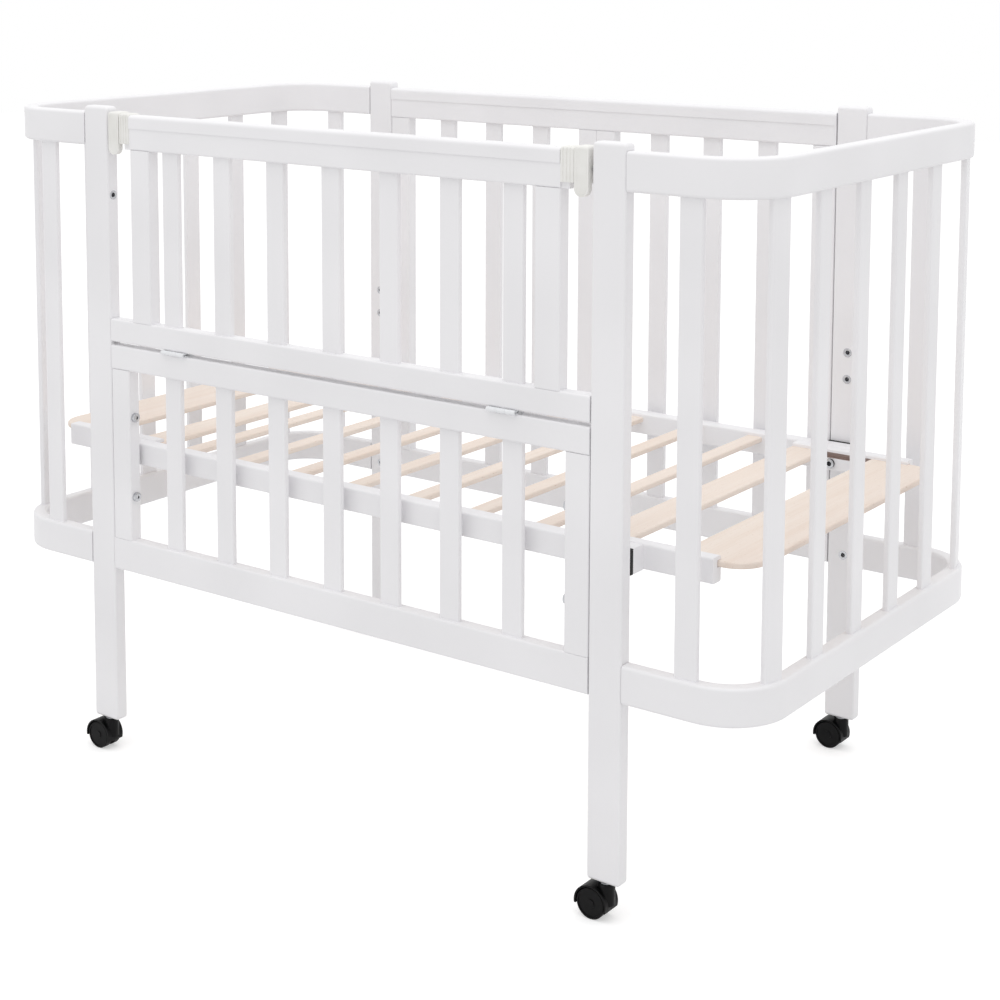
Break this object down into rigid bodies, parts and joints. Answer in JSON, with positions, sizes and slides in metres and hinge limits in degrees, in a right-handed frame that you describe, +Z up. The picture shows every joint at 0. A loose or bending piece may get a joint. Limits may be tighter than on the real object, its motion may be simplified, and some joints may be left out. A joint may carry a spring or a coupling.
{
  "type": "bedside sleeper crib",
  "caption": "Slatted bedside cot on castors with rounded bent ends, a slatted deck and a front gate that folds down over a fixed lower panel.",
  "frame": {"origin": "on the floor, under the middle of the cot", "axes": "+X along the cot, -Y the gate side, +Z up"},
  "size_m": [1.24, 0.6642, 0.9335],
  "materials": {
    "white_paint": "white satin lacquer",
    "natural_beech": "clear sealed, pale",
    "ivory_plastic": "moulded, matte",
    "black_nylon": "moulded, matte",
    "bright_steel": "zinc plated",
    "white_hinge": "white enamel",
    "black_pad": "matte",
    "black_bolt": "black oxide",
    "raw_dowel": "bare"
  },
  "bodies": {
    "frame": {"post_front_left": "white_paint", "post_front_right": "white_paint", "post_back_left": "white_paint", "post_back_right": "white_paint", "end_rail_upper_left": "white_paint", "end_rail_upper_right": "white_paint", "end_rail_lower_left": "white_paint", "end_rail_lower_right": "white_paint", "end_slats_left": "white_paint", "end_slats_right": "white_paint", "end_rail_dowels": "raw_dowel", "front_panel_top_rail": "white_paint", "front_panel_bottom_rail": "white_paint", "front_panel_stiles": "white_paint", "front_panel_slats": "white_paint", "back_top_rails": "white_paint", "back_bottom_rails": "white_paint", "back_outer_stiles": "white_paint", "back_inner_stiles": "white_paint", "back_slats": "white_paint", "base_rails": "white_paint", "base_outriggers": "white_paint", "base_pads": "black_pad", "base_bolts": "black_bolt", "panel_bolts": "bright_steel", "post_inserts": "bright_steel", "deck_slats": "natural_beech", "deck_wide_slats": "natural_beech", "deck_end_boards": "natural_beech", "castor_sockets": "bright_steel", "latch_strikes": "ivory_plastic", "hinge_lower_leaves": "white_hinge", "hinge_pins": "bright_steel"},
    "gate": {"gate_top_rail": "white_paint", "gate_bottom_rail": "white_paint", "gate_stile_left": "white_paint", "gate_stile_right": "white_paint", "gate_slats": "white_paint", "hinge_upper_leaves": "white_hinge", "latch_sleeves": "ivory_plastic"},
    "latch_left": {"latch_thumb_left": "ivory_plastic", "latch_bolt_left": "bright_steel"},
    "latch_right": {"latch_thumb_right": "ivory_plastic", "latch_bolt_right": "bright_steel"},
    "castor_front_left": {"castor_hood_front_left": "black_nylon", "castor_pins_front_left": "bright_steel"},
    "wheel_front_left_front": {"castor_wheel_front_left_front": "black_nylon"},
    "wheel_front_left_rear": {"castor_wheel_front_left_rear": "black_nylon"},
    "castor_front_right": {"castor_hood_front_right": "black_nylon", "castor_pins_front_right": "bright_steel"},
    "wheel_front_right_front": {"castor_wheel_front_right_front": "black_nylon"},
    "wheel_front_right_rear": {"castor_wheel_front_right_rear": "black_nylon"},
    "castor_back_left": {"castor_hood_back_left": "black_nylon", "castor_pins_back_left": "bright_steel"},
    "wheel_back_left_front": {"castor_wheel_back_left_front": "black_nylon"},
    "wheel_back_left_rear": {"castor_wheel_back_left_rear": "black_nylon"},
    "castor_back_right": {"castor_hood_back_right": "black_nylon", "castor_pins_back_right": "bright_steel"},
    "wheel_back_right_front": {"castor_wheel_back_right_front": "black_nylon"},
    "wheel_back_right_rear": {"castor_wheel_back_right_rear": "black_nylon"}
  },
  "joints": [
    {"name": "gate_fold", "type": "hinge", "parent": "frame", "child": "gate", "pos_m": [0, -0.33, 0.6005], "axis": [1, 0, 0], "range_deg": [0, 180]},
    {"name": "latch_slide_left", "type": "slide", "parent": "gate", "child": "latch_left", "axis": [-1, 0, 0], "range_m": [0, 0.004]},
    {"name": "latch_slide_right", "type": "slide", "parent": "gate", "child": "latch_right", "axis": [1, 0, 0], "range_m": [0, 0.004]},
    {"name": "swivel_front_left", "type": "hinge", "parent": "frame", "child": "castor_front_left", "pos_m": [-0.42275, -0.317, 0.04], "axis": [0, 0, 1], "continuous": true},
    {"name": "roll_front_left_front", "type": "hinge", "parent": "castor_front_left", "child": "wheel_front_left_front", "pos_m": [-0.43775, -0.317, 0.0195], "axis": [0, 1, 0], "continuous": true},
    {"name": "roll_front_left_rear", "type": "hinge", "parent": "castor_front_left", "child": "wheel_front_left_rear", "pos_m": [-0.43775, -0.317, 0.0195], "axis": [0, 1, 0], "continuous": true},
    {"name": "swivel_front_right", "type": "hinge", "parent": "frame", "child": "castor_front_right", "pos_m": [0.42275, -0.317, 0.04], "axis": [0, 0, 1], "continuous": true},
    {"name": "roll_front_right_front", "type": "hinge", "parent": "castor_front_right", "child": "wheel_front_right_front", "pos_m": [0.40775, -0.317, 0.0195], "axis": [0, 1, 0], "continuous": true},
    {"name": "roll_front_right_rear", "type": "hinge", "parent": "castor_front_right", "child": "wheel_front_right_rear", "pos_m": [0.40775, -0.317, 0.0195], "axis": [0, 1, 0], "continuous": true},
    {"name": "swivel_back_left", "type": "hinge", "parent": "frame", "child": "castor_back_left", "pos_m": [-0.42275, 0.317, 0.04], "axis": [0, 0, 1], "continuous": true},
    {"name": "roll_back_left_front", "type": "hinge", "parent": "castor_back_left", "child": "wheel_back_left_front", "pos_m": [-0.43775, 0.317, 0.0195], "axis": [0, 1, 0], "continuous": true},
    {"name": "roll_back_left_rear", "type": "hinge", "parent": "castor_back_left", "child": "wheel_back_left_rear", "pos_m": [-0.43775, 0.317, 0.0195], "axis": [0, 1, 0], "continuous": true},
    {"name": "swivel_back_right", "type": "hinge", "parent": "frame", "child": "castor_back_right", "pos_m": [0.42275, 0.317, 0.04], "axis": [0, 0, 1], "continuous": true},
    {"name": "roll_back_right_front", "type": "hinge", "parent": "castor_back_right", "child": "wheel_back_right_front", "pos_m": [0.40775, 0.317, 0.0195], "axis": [0, 1, 0], "continuous": true},
    {"name": "roll_back_right_rear", "type": "hinge", "parent": "castor_back_right", "child": "wheel_back_right_rear", "pos_m": [0.40775, 0.317, 0.0195], "axis": [0, 1, 0], "continuous": true}
  ]
}
